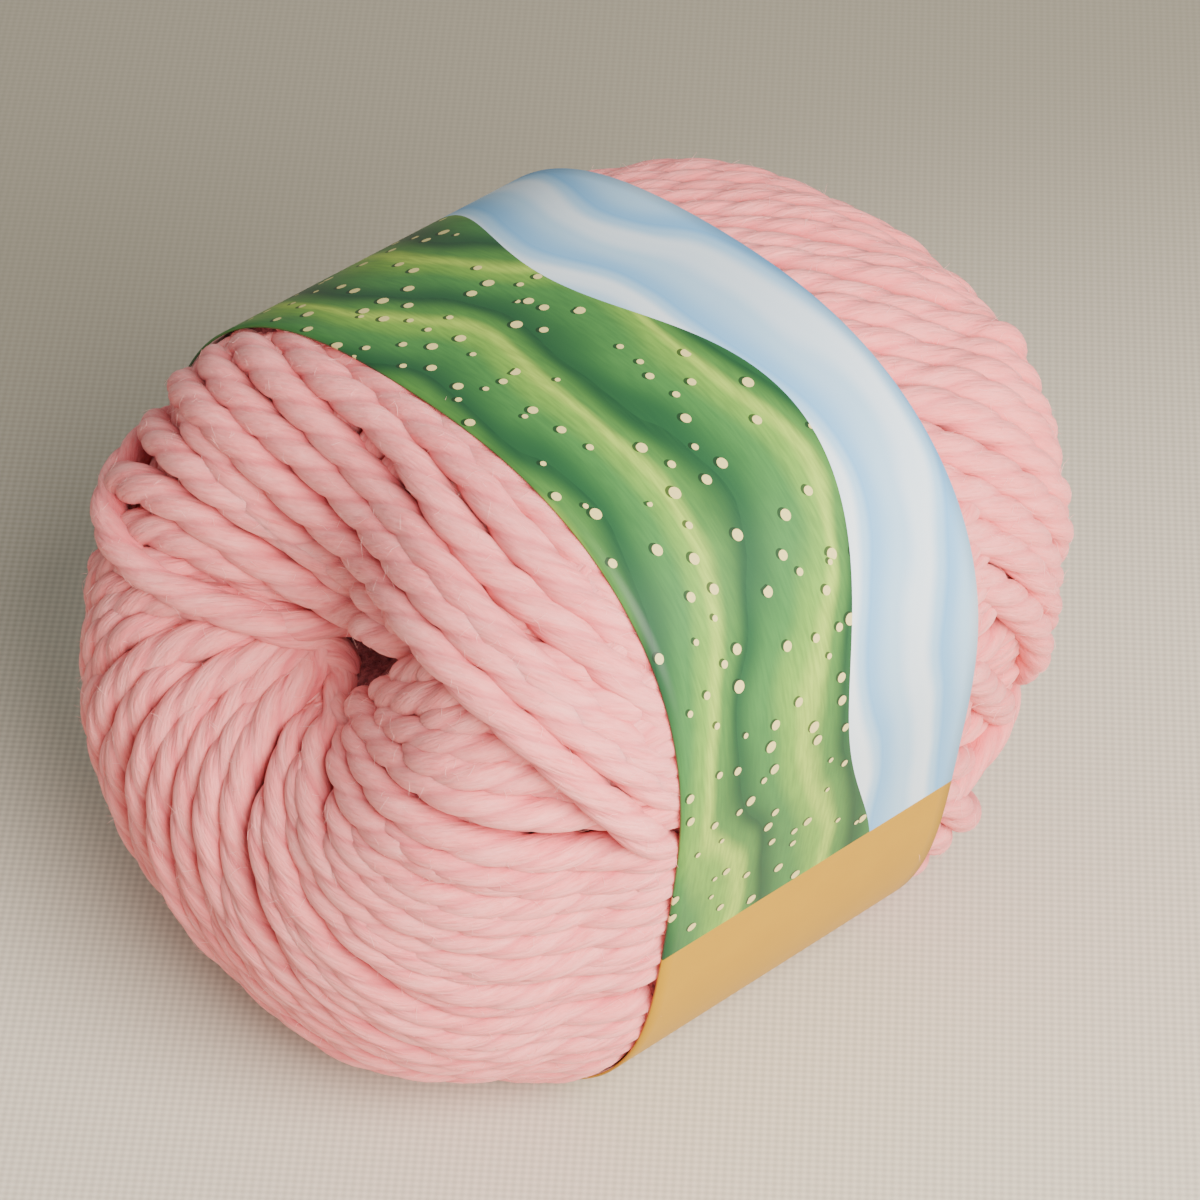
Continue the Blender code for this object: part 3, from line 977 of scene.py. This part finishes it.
colour_line = maths(tree, "ADD", wave(58.0, 3.4, 3.6), GREEN_WIDTH)
past_line = maths(tree, "GREATER_THAN", across_mm, colour_line)
print_colour = mix_colours(tree, past_line, green, blue)
gold_grain = mix_colours(tree, noise(6.0, 6.0, 3.0), *GOLDS)
on_gold = maths(tree, "GREATER_THAN", round_share, GOLD_FROM)
print_colour = mix_colours(tree, on_gold, print_colour, gold_grain)
tree.links.new(print_colour, shader.inputs["Base Color"])
shader.inputs["Roughness"].default_value = 0.42
shader.inputs["Specular IOR Level"].default_value = 0.24
band_mesh.materials.append(band_look)

plain_look, tree, shader = new_material("plain_side_of_the_paper")
shader.inputs["Base Color"].default_value = (0.80, 0.79, 0.76, 1.0)
shader.inputs["Roughness"].default_value = 0.8
band_mesh.materials.append(plain_look)
wall.material_offset = 1

bearings = np.linspace(0.0, 2.0 * np.pi, BAND_STEPS + 1)
reach = band_inner(np.cos(bearings), np.sin(bearings))


# ---------------------------------------------------------------- Floor and lights
# A pale woven cloth to lie on, painted darker and greyer towards the back as painted shade
# of the light's falloff, and one broad soft light from the front, near enough for the cloth to
# grow dimmer away from it.
THREADS = 5200.0             # radians of the weave's waves to the metre
FALLOFF_SHADE_WAY = (0.45, 0.89)    # the way, along x and y, in which the cloth is painted darker, as painted shade of the light's falloff
FALLOFF_SHADE_FROM = 0.010
FALLOFF_SHADE_TO = 0.135
FALLOFF_SHADE_SHARE = 0.74
CLOTH_PALE = (0.66, 0.600, 0.495, 1.0)
CLOTH_DARK = (0.48, 0.435, 0.355, 1.0)
# Painted shade: the dim grey that the cloth turns to at the back.
CLOTH_FALLOFF_SHADE = (0.22, 0.205, 0.155, 1.0)
WINDOW_PLACE = (-0.07, -0.47, 0.37)
WINDOW_WIDTH = 0.50
WINDOW_POWER = 11.5
WINDOW_COLOUR = (1.0, 0.94, 0.87)
ROOM_LIGHT = 0.59
ROOM_COLOUR = (0.80, 0.81, 0.78, 1.0)

floor = bmesh.new()
bmesh.ops.create_grid(floor, x_segments=2, y_segments=2, size=3.0)
floor_mesh = bpy.data.meshes.new("floor")
floor.to_mesh(floor_mesh)
floor.free()
floor_thing = bpy.data.objects.new("floor", floor_mesh)
bpy.context.scene.collection.objects.link(floor_thing)
floor_look, tree, shader = new_material("pale_cloth")
cloth_place = tree.nodes.new("ShaderNodeTexCoord").outputs["Object"]
separate = add_node(tree, "ShaderNodeSeparateXYZ", Vector=cloth_place)
threads = [maths(tree, "SINE", maths(tree, "MULTIPLY", separate.outputs[side], THREADS))
           for side in (0, 1)]
weave = maths(tree, "MULTIPLY", threads[0], threads[1])
weave = maths(tree, "MULTIPLY_ADD", weave, 0.5)
cloth_colour = mix_colours(tree, weave, CLOTH_PALE, CLOTH_DARK)
# Painted shade of the light's falloff: the cloth darkens and greys towards the back.
sideways = maths(tree, "MULTIPLY", separate.outputs[0], FALLOFF_SHADE_WAY[0])
backward = maths(tree, "MULTIPLY_ADD", separate.outputs[1], FALLOFF_SHADE_WAY[1], sideways)
falloff_shade = add_node(tree, "ShaderNodeMapRange", i0=backward, i1=FALLOFF_SHADE_FROM, i2=FALLOFF_SHADE_TO)
falloff_shade.interpolation_type = "SMOOTHSTEP"
falloff_shade_share = maths(tree, "MULTIPLY", falloff_shade.outputs[0], FALLOFF_SHADE_SHARE)
cloth_colour = mix_colours(tree, falloff_shade_share, cloth_colour, CLOTH_FALLOFF_SHADE)
tree.links.new(cloth_colour, shader.inputs["Base Color"])
shader.inputs["Roughness"].default_value = 0.95
shader.inputs["Specular IOR Level"].default_value = 0.1
floor_mesh.materials.append(floor_look)

window_light = bpy.data.lights.new("window", "AREA")
window_light.shape = "DISK"
window_light.size = WINDOW_WIDTH
window_light.energy = WINDOW_POWER
window_light.color = WINDOW_COLOUR
window = bpy.data.objects.new("window", window_light)
window.location = WINDOW_PLACE
window.rotation_mode = "QUATERNION"
window.rotation_quaternion = (BALL_MIDDLE - Vector(WINDOW_PLACE)).to_track_quat("-Z", "Y")
bpy.context.scene.collection.objects.link(window)

world = bpy.data.worlds.new("room")
world.use_nodes = True
room = world.node_tree.nodes["Background"]
room.inputs["Color"].default_value = ROOM_COLOUR
room.inputs["Strength"].default_value = ROOM_LIGHT
bpy.context.scene.world = world
